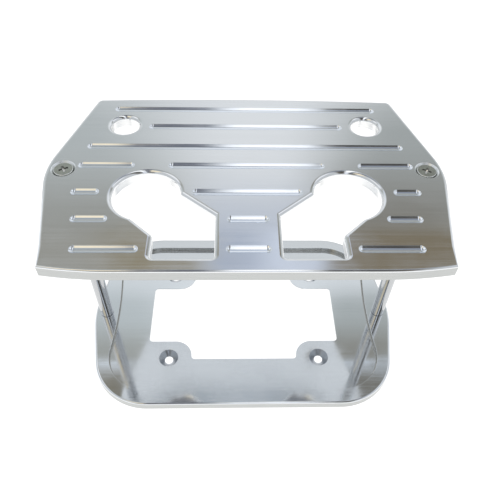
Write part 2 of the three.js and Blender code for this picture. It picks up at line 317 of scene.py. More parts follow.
def lid_outline():
    cx = LID_HALF_X - LID_BEND_R
    run = LID_FRONT_CORNER_X - LID_FRONT_FLAT_X
    fy = LID_FRONT_Y + LID_FRONT_BOW_R - math.sqrt(LID_FRONT_BOW_R ** 2 - run ** 2)
    bow = math.asin(run / LID_FRONT_BOW_R)
    dx, dy = LID_FRONT_CORNER_X - cx, fy - LID_BEND_Y
    tangent = math.atan2(dy, dx) + math.acos(LID_BEND_R / math.hypot(dx, dy))
    s, c = math.sin(rad(LID_BACK_DEG)), math.cos(rad(LID_BACK_DEG))
    touch = (cx + LID_BEND_R * math.cos(tangent), LID_BEND_Y + LID_BEND_R * math.sin(tangent))
    p0 = (cx + LID_BEND_R * c, LID_BEND_Y + LID_BEND_R * s)
    # back corner: a round between the slanted side and the long back arc
    by = LID_BACK_Y - LID_BACK_BOW_R
    r = LID_BACK_CORNER_R
    # centre of the round lies r inside both
    k = 60.0
    for _ in range(80):
        q = (p0[0] - s * k - c * r, p0[1] + c * k - s * r)
        k += (math.sqrt((LID_BACK_BOW_R - r) ** 2 - q[0] ** 2) + by - q[1]) / c * 0.9
    side_end = (p0[0] - s * k, p0[1] + c * k)
    a_back = math.atan2(q[1] - by, q[0])
    corner = Arc(q, r, rad(LID_BACK_DEG), a_back, 5)
    right = [
        Line((0, LID_FRONT_Y), (LID_FRONT_FLAT_X, LID_FRONT_Y), 14),
        Arc((LID_FRONT_FLAT_X, LID_FRONT_Y + LID_FRONT_BOW_R), LID_FRONT_BOW_R,
            rad(-90), rad(-90) + bow, 0.8),
        Line((LID_FRONT_CORNER_X, fy), touch, 5),
        Arc((cx, LID_BEND_Y), LID_BEND_R, tangent, rad(LID_BACK_DEG), 1.5),
        Line(p0, side_end, 12),
        corner,
        Arc((0, by), LID_BACK_BOW_R, a_back, rad(90), 0.12),
    ]
    return Outline(right + mirror_x(right))


def key_parts():
    """Terminal cut-out on the +X side, walked counter-clockwise."""
    inner, outer, front, r = 23.4, 66.1, -88.9, 2.4
    a_in, a_out = rad(176.5), rad(-71)
    p_in = (KEY_X + KEY_R * math.cos(a_in), KEY_Y + KEY_R * math.sin(a_in))
    p_out = (KEY_X + KEY_R * math.cos(a_out), KEY_Y + KEY_R * math.sin(a_out))
    chain = polygon([
        (p_in[0], p_in[1], 0), (inner, -48.9, 0), (inner, front, r),
        (outer, front, r), (outer, -68.2, 5), (p_out[0], p_out[1], 0),
    ], 6, 5)[:-1]
    return [Arc((KEY_X, KEY_Y), KEY_R, a_out, a_in, 2.5)] + chain


# ---------------------------------------------------------------- mesh builder
class Body:
    """Faces with their own corner normals, welded where they meet."""

    def __init__(self):
        self.key, self.v, self.f, self.n, self.m = {}, [], [], [], []

    def vid(self, p):
        k = (round(p[0] * 2e4), round(p[1] * 2e4), round(p[2] * 2e4))
        i = self.key.get(k)
        if i is None:
            i = self.key[k] = len(self.v)
            self.v.append((float(p[0]), float(p[1]), float(p[2])))
        return i

    def face(self, pts, normals, mat):
        ids = [self.vid(p) for p in pts]
        keep = [k for k in range(len(ids)) if ids[k] != ids[k - 1]]
        if len(keep) < 3 or len(set(ids[k] for k in keep)) < 3:
            return
        self.f.append([ids[k] for k in keep])
        self.n.append([normals[k] for k in keep])
        self.m.append(mat)

    def sweep(self, outline, profile, mat):
        """profile: [(offset, z, outward, upward), ...] from the top down, or from
        the bottom up with mats reversed; two neighbours make one band."""
        rings = {}

        def ring(d):
            if d not in rings:
                rings[d] = outline.ring(d)
            return rings[d]

        for j in range(len(profile) - 1):
            (d0, z0, h0, v0), (d1, z1, h1, v1) = profile[j], profile[j + 1]
            if abs(d0 - d1) < 1e-9 and abs(z0 - z1) < 1e-9:
                continue
            ra, rb = ring(d0), ring(d1)
            m = mat[j] if isinstance(mat, (list, tuple)) else mat
            for (pa, na), (pb, nb) in zip(ra, rb):
                for k in range(len(pa) - 1):
                    q = [(pa[k], z0), (pb[k], z1), (pb[k + 1], z1), (pa[k + 1], z0)]
                    w = [(na[k], h0, v0), (nb[k], h1, v1), (nb[k + 1], h1, v1), (na[k + 1], h0, v0)]
                    self.face(
                        [(p[0], p[1], z) for p, z in q],
                        [(n[0] * h, n[1] * h, v) for n, h, v in w], m)

    def flat(self, loops, z, up, mat):
        """Plane between an outer loop and the loops of its holes."""
        pts, edges = [], []
        for loop in loops:
            b = len(pts)
            n = len(loop)
            pts += [(float(p[0]), float(p[1])) for p in loop]
            edges += [(b + i, b + (i + 1) % n) for i in range(n)]
        vs, _, tris, orig, _, _ = delaunay_2d_cdt([Vector(p) for p in pts], edges, [], 0, 1e-6)
        back = [o[0] if len(o) else None for o in orig]
        tri = np.array(tris, int)
        co = np.array([(v.x, v.y) for v in vs])
        c = co[tri].mean(1)
        inside = np.zeros(len(c), bool)
        for loop in loops:
            a = np.asarray(loop, float)
            b = np.roll(a, -1, 0)
            for p, q in zip(a, b):
                if p[1] == q[1]:
                    continue
                hit = ((p[1] > c[:, 1]) != (q[1] > c[:, 1]))
                x = p[0] + (c[:, 1] - p[1]) * (q[0] - p[0]) / (q[1] - p[1])
                inside ^= hit & (c[:, 0] < x)
        nrm = (0.0, 0.0, 1.0 if up else -1.0)
        for t in tri[inside]:
            p = [pts[back[i]] if back[i] is not None else tuple(co[i]) for i in t]
            area = (p[1][0] - p[0][0]) * (p[2][1] - p[0][1]) - (p[2][0] - p[0][0]) * (p[1][1] - p[0][1])
            if abs(area) < 1e-9:
                continue
            if (area > 0) != up:
                p.reverse()
            self.face([(x, y, z) for x, y in p], [nrm] * 3, mat)

    def object(self, name, materials, location=(0, 0, 0)):
        mesh = bpy.data.meshes.new(name)
        mesh.from_pydata([(x / 1000, y / 1000, z / 1000) for x, y, z in self.v], [], self.f)
        mesh.polygons.foreach_set("use_smooth", [True] * len(self.f))
        mesh.polygons.foreach_set("material_index", self.m)
        flat = [n for ns in self.n for n in ns]
        a = np.array(flat, float)
        a /= np.maximum(np.linalg.norm(a, axis=1), 1e-12)[:, None]
        mesh.normals_split_custom_set(a.tolist())
        mesh.update()
        for m in materials:
            mesh.materials.append(m)
        obj = bpy.data.objects.new(name, mesh)
        obj.location = [c / 1000 for c in location]
        bpy.context.scene.collection.objects.link(obj)
        return obj


def over(r, top, n=9):
    """Quarter round from the top face to the wall."""
    return [(r - r * math.sin(t), top - r + r * math.cos(t), math.sin(t), math.cos(t))
            for t in [rad(90 * i / n) for i in range(n + 1)]]


def under(r, bottom, n=3):
    """Quarter round from the wall to the underside."""
    return [(r - r * math.cos(t), bottom + r - r * math.sin(t), math.cos(t), -math.sin(t))
            for t in [rad(90 * i / n) for i in range(n + 1)]]


# ------------------------------------------------------------------- materials
def nodes_of(name):
    m = bpy.data.materials.new(name)
    m.use_nodes = True
    t = m.node_tree
    b = t.nodes["Principled BSDF"]
    return m, t, b


def add(t, kind, **props):
    n = t.nodes.new(kind)
    for k, v in props.items():
        setattr(n, k, v)
    return n


def metal(name, color, rough, grain=(14, 900, 900), grain_bump=0.04, grain_rough=0.06,
          blotch=0.03, metallic=1.0, aniso=0.0, tint=0.05, bump_dist=0.00004):
    """Metal with a directional machined grain, soft handling blotches and a
    slight change of tone; grain is the noise's scale along x, y and z."""
    m, t, b = nodes_of(name)
    b.inputs["Base Color"].default_value = (*color, 1)
    b.inputs["Metallic"].default_value = metallic
    b.inputs["Roughness"].default_value = rough
    if aniso:
        b.inputs["Anisotropic"].default_value = aniso
    co = add(t, "ShaderNodeTexCoord")
    mp = add(t, "ShaderNodeMapping")
    mp.inputs["Scale"].default_value = grain
    t.links.new(co.outputs["Object"], mp.inputs["Vector"])
    n1 = add(t, "ShaderNodeTexNoise")
    n1.inputs["Scale"].default_value = 1.0
    n1.inputs["Detail"].default_value = 5.0
    n1.inputs["Roughness"].default_value = 0.62
    t.links.new(mp.outputs["Vector"], n1.inputs["Vector"])
    n2 = add(t, "ShaderNodeTexNoise")
    n2.inputs["Scale"].default_value = 38.0
    n2.inputs["Detail"].default_value = 3.0
    t.links.new(co.outputs["Object"], n2.inputs["Vector"])
    # roughness = rough + grain and blotches
    r1 = add(t, "ShaderNodeMapRange")
    r1.inputs["From Min"].default_value, r1.inputs["From Max"].default_value = 0.3, 0.7
    r1.inputs["To Min"].default_value, r1.inputs["To Max"].default_value = rough - grain_rough, rough + grain_rough
    t.links.new(n1.outputs["Fac"], r1.inputs["Value"])
    r2 = add(t, "ShaderNodeMapRange")
    r2.inputs["From Min"].default_value, r2.inputs["From Max"].default_value = 0.35, 0.65
    r2.inputs["To Min"].default_value, r2.inputs["To Max"].default_value = -blotch, blotch
    t.links.new(n2.outputs["Fac"], r2.inputs["Value"])
    s = add(t, "ShaderNodeMath", operation="ADD", use_clamp=True)
    t.links.new(r1.outputs["Result"], s.inputs[0])
    t.links.new(r2.outputs["Result"], s.inputs[1])
    t.links.new(s.outputs["Value"], b.inputs["Roughness"])
    # tone
    ramp = add(t, "ShaderNodeMapRange")
    ramp.inputs["From Min"].default_value, ramp.inputs["From Max"].default_value = 0.3, 0.7
    ramp.inputs["To Min"].default_value, ramp.inputs["To Max"].default_value = 0.0, 1.0
    t.links.new(n1.outputs["Fac"], ramp.inputs["Value"])
    mix = add(t, "ShaderNodeMix", data_type="RGBA")
    for sock in mix.inputs:
        if sock.name == "A" and sock.type == "RGBA":
            sock.default_value = (*[c * (1 - tint) for c in color], 1)
        if sock.name == "B" and sock.type == "RGBA":
            sock.default_value = (*[min(1, c * (1 + tint)) for c in color], 1)
    t.links.new(ramp.outputs["Result"], mix.inputs[0])
    out = [o for o in mix.outputs if o.type == "RGBA"][0]
    t.links.new(out, b.inputs["Base Color"])
    bump = add(t, "ShaderNodeBump")
    bump.inputs["Strength"].default_value = grain_bump
    bump.inputs["Distance"].default_value = bump_dist
    t.links.new(n1.outputs["Fac"], bump.inputs["Height"])
    t.links.new(bump.outputs["Normal"], b.inputs["Normal"])
    return m


ALU = (0.79, 0.80, 0.81)
plate_top = metal("plate_satin", ALU, 0.14, grain=(9, 520, 520), grain_bump=0.12, grain_rough=0.03, tint=0.025)
plate_edge = metal("plate_edge", (0.86, 0.87, 0.88), 0.11, grain=(60, 60, 500), grain_bump=0.06, grain_rough=0.03)
# Outer wall darker than the plate's top: painted shade, so that it shows grey where it reflects the bright floor.
plate_side_shade = metal("plate_side_shade", (0.53, 0.54, 0.53), 0.30, grain=(30, 30, 900), grain_bump=0.10, grain_rough=0.05)
# Walls of the cut-outs near white: painted light, so that they show as white as the floor they reflect.
plate_wall_lit = metal("plate_bore_lit", (0.96, 0.96, 0.95), 0.32, grain=(30, 30, 900), grain_bump=0.10, grain_rough=0.05)
# Grooves lighter and bluer than the plate's top: a painted bluish reflection.
plate_groove_reflection = metal("plate_groove_reflection", (0.88, 0.91, 0.95), 0.12, grain=(8, 900, 900), grain_bump=0.06, grain_rough=0.02)
# Countersinks lighter and bluer than the plate's top: a painted highlight.
plate_sink_highlight = metal("plate_countersink_highlight", (0.93, 0.95, 0.98), 0.34, grain=(200, 200, 200), grain_bump=0.06, grain_rough=0.03)
# Underside darker than the top: painted shade under the plate.
plate_under = metal("plate_underside_shade", (0.56, 0.58, 0.60), 0.26, grain=(9, 520, 520), grain_bump=0.08, grain_rough=0.04, tint=0.03)
tray_flat = metal("tray_satin", (0.87, 0.90, 0.93), 0.09, grain=(9, 520, 520), grain_bump=0.08, grain_rough=0.03, tint=0.02)
tray_edge = metal("tray_edge", (0.80, 0.82, 0.84), 0.11, grain=(60, 60, 500), grain_bump=0.06, grain_rough=0.03)
# Outer wall darker than the tray's top: painted shade, so that it shows grey where it reflects the bright floor.
tray_side_shade = metal("tray_side_shade", (0.53, 0.54, 0.53), 0.30, grain=(30, 30, 900), grain_bump=0.10, grain_rough=0.05)
# Pocket wall dark: a painted shade line along the step down to the floor.
tray_step_shade = metal("tray_pocket_wall_shade", (0.44, 0.44, 0.42), 0.25, grain=(30, 30, 900), grain_bump=0.10, grain_rough=0.05)
# Window walls near white: painted light, so that they show as white as the floor they reflect.
tray_wall_lit = metal("tray_window_wall_lit", (0.96, 0.96, 0.95), 0.32, grain=(30, 30, 900), grain_bump=0.10, grain_rough=0.05)
# Countersinks dark: painted shade in the hollows.
tray_sink_shade = metal("tray_countersink_shade", (0.42, 0.45, 0.49), 0.30, grain=(200, 200, 200), grain_bump=0.08, grain_rough=0.04)
rod_metal = metal("rod_polished", (0.53, 0.54, 0.55), 0.12, grain=(20, 20, 1400), grain_bump=0.08, grain_rough=0.04)
# Chamfers at the rod's ends dark: painted shade where the rod meets the tray and the plate.
rod_end_shade = metal("rod_chamfer_shade", (0.20, 0.20, 0.21), 0.35, grain=(40, 40, 900), grain_bump=0.10, grain_rough=0.04)
screw_metal = metal("screw_stainless", (0.50, 0.51, 0.46), 0.24, grain=(300, 300, 300), grain_bump=0.10, grain_rough=0.06, tint=0.10)
# Recess walls dark: painted shade in the cross recess.
screw_recess_shade = metal("screw_recess_shade", (0.27, 0.27, 0.25), 0.28, grain=(300, 300, 300), grain_bump=0.06, grain_rough=0.04)
# Near-white metal for the head's rim round and the recess's deep walls and tip; in the recess it is a painted
# highlight.
screw_highlight = metal("screw_pale_highlight", (0.95, 0.95, 0.93), 0.30, grain=(300, 300, 300), grain_bump=0.06, grain_rough=0.04)


# ------------------------------------------------------------------------ tray
def countersink(body, cx, cy, rim, bore, slope_depth, z_top, z_bottom, mat, up=True, step=5.0):
    """Countersunk hole whose wide end is at z_top (up) or at z_bottom (down).
    Returns the loops it leaves in the wide and in the narrow face."""
    sgn = 1 if up else -1
    wide, narrow = (z_top, z_bottom) if up else (z_bottom, z_top)
    half = math.atan2(rim - bore, slope_depth)          # cone's half angle
    # small round at the rim, tangent to the face and to the cone
    e = 0.35
    turn = math.pi / 2 - half                           # angle between the face and the cone
    back = e * math.tan(turn / 2)
    pts = []
    n = 3
    for i in range(n + 1):
        t = turn * i / n
        pts.append((rim + back - e * math.sin(t), -e + e * math.cos(t), math.sin(t), math.cos(t)))
    # cone down to the bore, its normal constant
    nh, nv = math.sin(turn), math.cos(turn)
    pts_cone = [(pts[-1][0], pts[-1][1], nh, nv), (bore, -slope_depth, nh, nv)]
    depth = abs(z_top - z_bottom)
    foot = min(0.25, (depth - slope_depth) * 0.5)
    pts_bore = [(bore, -slope_depth, 1, 0), (bore, -depth + foot, 1, 0)]
    pts_foot = [(bore + foot * (1 - math.cos(t)), -depth + foot * (1 - math.sin(t)), math.cos(t), -math.sin(t))
                for t in [rad(90 * i / 3) for i in range(4)]]
    o = circle(cx, cy, 1.0, step)
    for prof in (pts, pts_cone, pts_bore, pts_foot):
        p = [(r - 1.0, wide + sgn * z, h, sgn * v) for r, z, h, v in prof]
        if not up:
            p = p[::-1]
        body.sweep(o, p, mat)
    return o.loop(rim + back - 1.0), o.loop(bore + foot - 1.0)


def tray_radius(p):
    """Round-over of the tray: small along the front, full round the sides."""
    w = min(1.0, max(0.0, (p[1] + TRAY_HALF_Y) / TRAY_FRONT_BLEND))
    return FRONT_R + (EDGE_R - FRONT_R) * w * w * (3 - 2 * w)


def front_radius(p):
    """Round-over of the top plate: small along the front, full round the sides."""
    if p[1] < LID_FRONT_CORNER_Y + 0.01 and abs(p[0]) < LID_FRONT_CORNER_X + 0.01:
        return FRONT_R
    d = math.hypot(abs(p[0]) - LID_FRONT_CORNER_X, p[1] - LID_FRONT_CORNER_Y)
    w = min(1.0, d / FRONT_BLEND)
    return FRONT_R + (EDGE_R - FRONT_R) * w * w * (3 - 2 * w)


def rounded(b, outline, radius, top, bottom, n, mat_round, mat_wall):
    """Round-over whose radius changes along the outline, and the wall under it.
    Returns the loop that it leaves in the top face."""
    base, far = outline.ring(0), outline.ring(EDGE_R)
    lip = []
    for (p0, n0), (p1, _) in zip(base, far):
        step = (p1 - p0) / EDGE_R
        r = [radius(p) for p in p0]
        rows = []
        for i in range(n + 1):
            t = rad(90 * i / n)
            rows.append([((*(p + s * (q - q * math.sin(t))), top - q + q * math.cos(t)),
                          (*(m * math.sin(t)), math.cos(t))) for p, s, q, m in zip(p0, step, r, n0)])
        rows.append([((*p, bottom), (*m, 0.0)) for p, m in zip(p0, n0)])
        for j in range(len(rows) - 1):
            for k in range(len(p0) - 1):
                q = [rows[j][k], rows[j + 1][k], rows[j + 1][k + 1], rows[j][k + 1]]
                if j == n:
                    q = [(v, (w[0], w[1], 0.0)) for v, w in q]
                b.face([v for v, _ in q], [w for _, w in q], mat_round if j < n else mat_wall)
        lip += [v[:2] for v, _ in rows[0][:-1]]
    return np.array(lip)


def build_tray():
    b = Body()
    outer, pocket, window = tray_outline(), pocket_outline(), window_outline()
    rim = rounded(b, outer, tray_radius, RIM_Z, BREAK, 9, 1, 4)
    b.sweep(outer, under(BREAK, 0), 4)
    # pocket wall with a broken upper edge and a small round at its foot
    lip, foot = 0.25, 0.8
    b.sweep(pocket, over(lip, RIM_Z, 3), 1)
    # the pocket's wall and its foot take the dark pocket-wall material, a painted shade line
    b.sweep(pocket, [(0, RIM_Z - lip, 1, 0), (0, FLOOR_Z + foot, 1, 0)], 5)
    hollow = [(-foot + foot * math.cos(t), FLOOR_Z + foot - foot * math.sin(t), math.cos(t), math.sin(t))
              for t in [rad(90 * i / 4) for i in range(5)]]
    b.sweep(pocket, hollow, 5)
    # window
    b.sweep(window, over(0.4, FLOOR_Z, 3), 1)
    # the window's walls take the near-white wall material, painted light
    b.sweep(window, [(0, FLOOR_Z - 0.4, 1, 0), (0, 0.3, 1, 0)], 6)
    b.sweep(window, under(0.3, 0), 6)
    floor_loops, under_loops, rim_loops = [], [], []
    for sx in (-1, 1):
        for sy in (-1, 1):
            w, n = countersink(b, sx * MOUNT_X, sy * MOUNT_Y, MOUNT_SINK_R, MOUNT_HOLE_R,
                               MOUNT_SINK_DEPTH, FLOOR_Z, 0, 2, True, 4)
            floor_loops.append(w)
            under_loops.append(n)
        w, n = countersink(b, sx * ROD_X, 0, SINK_RIM_R, SCREW_BORE_R,
                           (SINK_RIM_R - SCREW_BORE_R) / SINK_SLOPE, RIM_Z, 0, 2, False)
        under_loops.append(w)
        rim_loops.append(n)
    b.flat([rim, pocket.loop(lip)] + rim_loops, RIM_Z, True, 0)
    b.flat([pocket.loop(-foot), window.loop(0.4)] + floor_loops, FLOOR_Z, True, 0)
    b.flat([outer.loop(BREAK), window.loop(0.3)] + under_loops, 0, False, 3)
    return b


# ------------------------------------------------------------------- top plate
def groove(b, x0, x1, y, mat):
    r, hw = GROOVE_BALL_R, GROOVE_HALF_W
    lift = math.sqrt(r * r - hw * hw)
    e = 0.12
    sc = math.sqrt((r + e) ** 2 - (lift + e) ** 2)
    tc = math.atan2(sc, lift + e)
    a, c = x0 + hw, x1 - hw
    o = Outline([Line((a, y + 1), (c, y + 1), max(1, round((c - a) / 30))), Arc((c, y), 1.0, rad(90), rad(-90), 7.5),
                 Line((c, y - 1), (a, y - 1), max(1, round((c - a) / 30))), Arc((a, y), 1.0, rad(-90), rad(-270), 7.5)])
    rim = [(sc - e * math.sin(t) - 1, LID_TOP - e + e * math.cos(t), math.sin(t), math.cos(t))
           for t in [tc * i / 3 for i in range(4)]]
    bed = [(r * math.sin(t) - 1, LID_TOP + lift - r * math.cos(t), math.sin(t), math.cos(t))
           for t in [tc * (1 - i / 12) for i in range(13)]]
    b.sweep(o, rim, mat)
    b.sweep(o, bed, mat)
    return o.loop(sc - 1)


def build_plate():
    b = Body()
    outer = lid_outline()
    keys = [Outline(reverse(key_parts())), Outline(reverse(mirror_x(key_parts())))]
    holes = [circle(s * HOLE_X, HOLE_Y, HOLE_R, 4) for s in (-1, 1)]
    # the outer wall and its foot take the darkened side material, a painted shade
    top = [rounded(b, outer, front_radius, LID_TOP, LID_Z + BREAK, 9, 1, 5)]
    b.sweep(outer, under(BREAK, LID_Z), 5)
    low = [outer.loop(BREAK)]
    for o in keys + holes:
        b.sweep(o, over(EDGE_R, LID_TOP), 1)
        # the cut-outs' walls take the near-white wall material, painted light
        b.sweep(o, [(0, LID_TOP - EDGE_R, 1, 0), (0, LID_Z + BREAK, 1, 0)], 6)
        b.sweep(o, under(BREAK, LID_Z), 6)
        top.append(o.loop(EDGE_R))
        low.append(o.loop(BREAK))
    for y, spans in GROOVES:
        for x0, x1 in spans:
            top.append(groove(b, x0, x1, y, 2))
    for sx in (-1, 1):
        w, n = countersink(b, sx * ROD_X, 0, SINK_RIM_R, SCREW_BORE_R,
                           (SINK_RIM_R - SCREW_BORE_R) / SINK_SLOPE, LID_TOP, LID_Z, 4, True, 4)
        top.append(w)
        low.append(n)
    b.flat(top, LID_TOP, True, 0)
    b.flat(low, LID_Z, False, 3)
    return b


# -------------------------------------------------------------- rods and screws
def turned(b, profile, n, mat):
    """Surface of revolution about Z from [(r, z, nr, nz), ...]; the profile runs
    so that the metal is on its left when seen with r to the right."""
    for (r0, z0, h0, v0), (r1, z1, h1, v1) in zip(profile, profile[1:]):
        for k in range(n):
            a, c = 2 * math.pi * k / n, 2 * math.pi * (k + 1) / n
            ca, sa, cc, sc = math.cos(a), math.sin(a), math.cos(c), math.sin(c)
            b.face(
                [(r0 * ca, r0 * sa, z0), (r0 * cc, r0 * sc, z0), (r1 * cc, r1 * sc, z1), (r1 * ca, r1 * sa, z1)],
                [(h0 * ca, h0 * sa, v0), (h0 * cc, h0 * sc, v0), (h1 * cc, h1 * sc, v1), (h1 * ca, h1 * sa, v1)], mat)


def bands(points):
    """Straight bands, each with its own normal, from [(r, z), ...]."""
    out = []
    for (r0, z0), (r1, z1) in zip(points, points[1:]):
        d = math.hypot(r1 - r0, z1 - z0)
        h, v = (z1 - z0) / d, -(r1 - r0) / d
        out.append([(r0, z0, h, v), (r1, z1, h, v)])
    return out


def helix(b, z_lo, z_hi, root, crest, end_r, n, mat, inner=False):
    """Screw thread between two plain rings of radius end_r."""
    pitch = THREAD_PITCH
    prof = [(0.0, root), (0.125, root), (0.47, crest), (0.60, crest), (0.95, root)]
    rows = []
    turns = int((z_hi - z_lo) / pitch) + 3
    for t in range(turns):
        for f, r in prof:
            rows.append((z_lo - pitch + (t + f) * pitch, r))
    fade = 0.8 * pitch

    def point(z, r, k):
        z = z + pitch * k / n
        if z <= z_lo or z >= z_hi:
            z, r = min(max(z, z_lo), z_hi), end_r
        else:
            w = min(1.0, (z - z_lo) / fade, (z_hi - z) / fade)
            r = end_r + (r - end_r) * w
        a = 2 * math.pi * (k % n) / n
        return np.array([r * math.cos(a), r * math.sin(a), z])

    for (z0, r0), (z1, r1) in zip(rows, rows[1:]):
        for k in range(n):
            p = [point(z0, r0, k), point(z0, r0, k + 1), point(z1, r1, k + 1), point(z1, r1, k)]
            nn = []
            for i, kk in enumerate((k, k + 1, k + 1, k)):
                a = 2 * math.pi * kk / n
                rr = (r0, r0, r1, r1)[i]
                t = np.array([-rr * math.sin(a), rr * math.cos(a), pitch / (2 * math.pi)])
                d = np.array([(r1 - r0) * math.cos(a), (r1 - r0) * math.sin(a), z1 - z0])
                m = np.cross(t, d)
                nn.append(-m if inner else m)
            if inner:
                p.reverse()
                nn.reverse()
            b.face(p, nn, mat)


def build_rod():
    """Rod standing on z = 0, tapped at both ends."""
    b = Body()
    n = 64
    c, tap, depth, mouth = 0.6, TAP_R, TAP_DEPTH, 0.5
    outside = [(tap + mouth, 0), (ROD_R - c, 0), (ROD_R, c), (ROD_R, ROD_L - c), (ROD_R - c, ROD_L), (tap + mouth, ROD_L)]
    # the two chamfer bands (1 and 3) take the dark chamfer material, a painted shade
    for i, s in enumerate(bands(outside)):
        turned(b, s, n, 2 if i in (1, 3) else 0)
    for lower in (True, False):
        part = Body()
        for s in bands([(0, depth + 1.2), (tap, depth)]):
            turned(part, [s[0], s[1]], n, 1)
        helix(part, mouth, depth, tap, tap - 0.22, tap, n, 1, inner=True)
        for s in bands([(tap, mouth), (tap + mouth, 0)]):
            turned(part, s, n, 1)
        # a bore's walls face the axis: bands above run downward, so their normals point inward
        for f, nn, m in zip(part.f, part.n, part.m):
            pts = [part.v[i] for i in f]
            nn = [tuple(x) for x in nn]
            if not lower:
                pts = [(x, y, ROD_L - z) for x, y, z in reversed(pts)]
                nn = [(x, y, -z) for x, y, z in reversed(nn)]
            b.face(pts, nn, m)
    return b


def cross_loop(length, width, fillet):
    """Cross-shaped loop, counter-clockwise."""
    e = min(0.3, width * 0.45)
    arm = [(width + fillet, -width), (length - e, -width), (length - e * 0.3, -width + e * 0.3), (length, -width + e),
           (length, width - e), (length - e * 0.3, width - e * 0.3), (length - e, width), (width + fillet, width)]
    c = width + fillet
    for i in range(1, 4):
        t = rad(-90 - 90 * i / 4)
        arm.append((c + fillet * math.cos(t), c + fillet * math.sin(t)))
    out = []
    for q in range(4):
        co, si = math.cos(q * math.pi / 2), math.sin(q * math.pi / 2)
        out += [(x * co - y * si, x * si + y * co) for x, y in arm]
    return out


def build_screw():
    """Countersunk screw with its head's flat top at z = 0, pointing down."""
    b = Body()
    n = 64
    cone_h = (HEAD_R - SCREW_R) / SINK_SLOPE
    lip = 0.40
    # head, from the tip of the shank up to the flat top
    plain = -HEAD_BAND - cone_h - 1.2
    tip = -SCREW_L
    core = SCREW_R - 0.72
    for s in bands([(0, tip), (core, tip), (core + 0.25, tip + 0.35)]):
        turned(b, s, n, 0)
    for s in bands([(core + 0.25, tip + 0.35), (SCREW_R - 0.36, tip + 0.8)]):
        turned(b, s, n, 0)
    helix(b, tip + 0.8, plain, core + 0.1, SCREW_R, SCREW_R - 0.36, n, 0)
    for s in bands([(SCREW_R - 0.36, plain), (SCREW_R, plain + 0.4), (SCREW_R, -HEAD_BAND - cone_h), (HEAD_R, -HEAD_BAND)]):
        turned(b, s, n, 0)
    turned(b, [(HEAD_R, -HEAD_BAND, 1, 0), (HEAD_R, -lip, 1, 0)], n, 0)
    # the rim round takes the near-white material
    turned(b, [(HEAD_R - lip + lip * math.cos(t), -lip + lip * math.sin(t), math.cos(t), math.sin(t))
               for t in [rad(90 * i / 3) for i in range(4)]], n, 2)
    rim = [((HEAD_R - lip) * math.cos(2 * math.pi * k / n), (HEAD_R - lip) * math.sin(2 * math.pi * k / n)) for k in range(n)]
    # cross recess, narrowing towards its tip
    levels = [(0.0, 3.80, 1.00, 0.9), (-0.06, 3.70, 0.92, 0.9), (-0.15, 3.62, 0.87, 0.9), (-1.3, 2.80, 0.72, 0.85),
              (-2.3, 1.75, 0.55, 0.65), (-2.5, 1.30, 0.45, 0.45)]
    loops = [(z, cross_loop(l, w, f)) for z, l, w, f in levels]
    b.flat([rim, loops[0][1]], 0.0, True, 0)
    for i, ((z0, l0), (z1, l1)) in enumerate(zip(loops, loops[1:])):
        m = len(l0)
        for k in range(m):
            p = [(*l0[k], z0), (*l1[k], z1), (*l1[(k + 1) % m], z1), (*l0[(k + 1) % m], z0)]
            # wall of a hollow: walked counter-clockwise with the metal outside
            p = [p[0], p[3], p[2], p[1]]
            nn = np.cross(np.subtract(p[1], p[0]), np.subtract(p[3], p[0]))
            if np.linalg.norm(nn) < 1e-9:
                nn = np.cross(np.subtract(p[2], p[1]), np.subtract(p[3], p[1]))
            # the three upper levels take the dark recess material, a painted shade; the lower levels and the tip take
            # the near-white one, a painted highlight
            b.face(p, [nn] * 4, 1 if i < 3 else 2)
    z0, l0 = loops[-1]
    m = len(l0)
    for k in range(m):
        p = [(*l0[k], z0), (*l0[(k + 1) % m], z0), (0, 0, -2.6)]
        nn = np.cross(np.subtract(p[1], p[0]), np.subtract(p[2], p[0]))
        b.face(p, [nn] * 3, 2)
    return b


tray = build_tray().object("tray_machined", [tray_flat, tray_edge, tray_sink_shade, tray_flat, tray_side_shade, tray_step_shade, tray_wall_lit])
plate = build_plate().object("top_plate_machined", [plate_top, plate_edge, plate_groove_reflection, plate_under, plate_sink_highlight, plate_side_shade, plate_wall_lit])
rod_body, screw_body = build_rod(), build_screw()
rods = {s: rod_body.object(f"rod_{s}_turned", [rod_metal, rod_metal, rod_end_shade], (x, 0, RIM_Z)) for s, x in (("left", -ROD_X), ("right", ROD_X))}
screws = {}
for side, x, turn_top, turn_low in (("left", -ROD_X, 28, 10), ("right", ROD_X, 62, 40)):
    top = screw_body.object(f"top_screw_{side}_detailed", [screw_metal, screw_recess_shade, screw_highlight], (x, 0, LID_TOP - HEAD_SINK))
    top.rotation_euler = (0, 0, rad(turn_top))
    low = screw_body.object(f"bottom_screw_{side}_detailed", [screw_metal, screw_recess_shade, screw_highlight], (x, 0, HEAD_SINK))
    low.rotation_euler = (math.pi, 0, rad(turn_low))
    screws[side] = (top, low)

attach(tray, "base"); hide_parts("tray")
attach(plate, "hold_down_plate"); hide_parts("top_plate")
for side in ("left", "right"):
    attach(rods[side], "base"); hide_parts(f"rod_{side}")
    top, low = screws[side]
    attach(top, f"screw_{side}"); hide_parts(f"top_screw_{side}")
    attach(low, "base"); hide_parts(f"bottom_screw_{side}")


# ---------------------------------------------------------------------- studio
FLOOR_GLOW, FLOOR_WHITE = 1.02, 0.25


def plain_floor():
    """White sweep under the object, lit from below as a light table is."""
    mesh = bpy.data.meshes.new("floor")
    s = 6.0
    mesh.from_pydata([(-s, -s, -0.0002), (s, -s, -0.0002), (s, s, -0.0002), (-s, s, -0.0002)], [], [(0, 1, 2, 3)])
    obj = bpy.data.objects.new("floor", mesh)
    bpy.context.scene.collection.objects.link(obj)
    m, t, b = nodes_of("floor_white")
    b.inputs["Base Color"].default_value = (FLOOR_WHITE, FLOOR_WHITE, FLOOR_WHITE, 1)
    b.inputs["Roughness"].default_value = 0.9
    b.inputs["Specular IOR Level"].default_value = 0.0
    b.inputs["Emission Color"].default_value = (1.0, 1.0, 1.0, 1)
    b.inputs["Emission Strength"].default_value = FLOOR_GLOW
    mesh.materials.append(m)
    return obj


floor = plain_floor()

